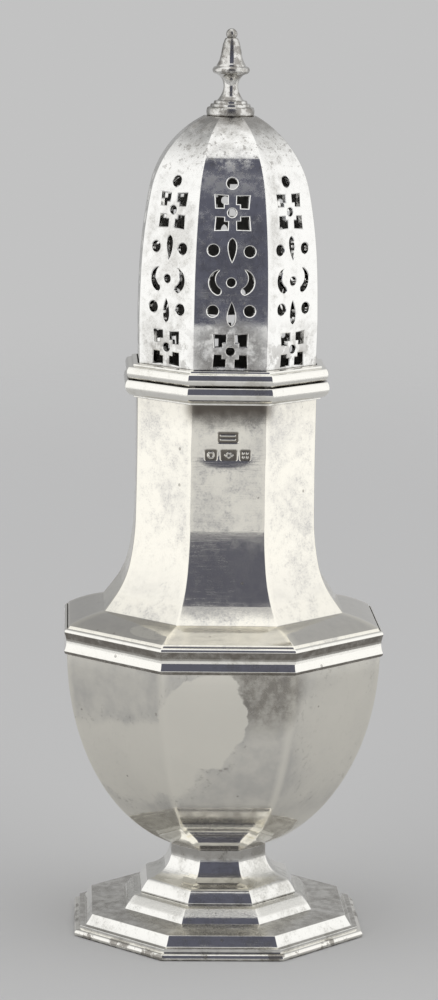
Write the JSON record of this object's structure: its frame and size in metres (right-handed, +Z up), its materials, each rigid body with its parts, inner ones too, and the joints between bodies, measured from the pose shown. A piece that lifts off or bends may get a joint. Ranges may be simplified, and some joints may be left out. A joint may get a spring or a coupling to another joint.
{
  "type": "octagonal sugar caster",
  "caption": "Eight-sided silver shaker on a stepped foot, with a round-bottomed baluster body, a tall neck and a pierced domed cover that pulls off.",
  "frame": {"origin": "centre of the foot's underside, on the surface that the caster stands on", "axes": "+Z up along the caster's axis, through the finial; a flat of every octagon faces +X, +Y, -X and -Y"},
  "size_m": [0.0624, 0.0624, 0.178],
  "materials": {
    "foot_silver": "polished sterling silver with tarnish in the steps",
    "body_silver": "polished sterling silver, softly worn, lightly tarnished",
    "moulding_silver": "polished sterling silver wire with dark tarnish in its grooves",
    "pierced_silver": "polished sterling silver with bright saw-cut edges",
    "sleeve_silver": "silver rubbed matt along the sleeve by sliding",
    "finial_silver": "cast and turned sterling silver, tarnished in the grooves"
  },
  "bodies": {
    "body": {"foot_rim_wire": "moulding_silver", "foot_plinth": "foot_silver", "foot_pedestal": "foot_silver", "bowl": "body_silver", "girdle_moulding": "moulding_silver", "shoulder_and_neck": "body_silver", "neck_rim_moulding": "moulding_silver"},
    "cover": {"cover_rim_moulding": "moulding_silver", "cover_sleeve": "sleeve_silver", "cover_dome": "pierced_silver", "finial_boss": "finial_silver", "finial_baluster": "finial_silver"}
  },
  "joints": [
    {"name": "cover_lift", "type": "slide", "parent": "body", "child": "cover", "axis": [0, 0, 1], "range_m": [0, 0.05]}
  ]
}
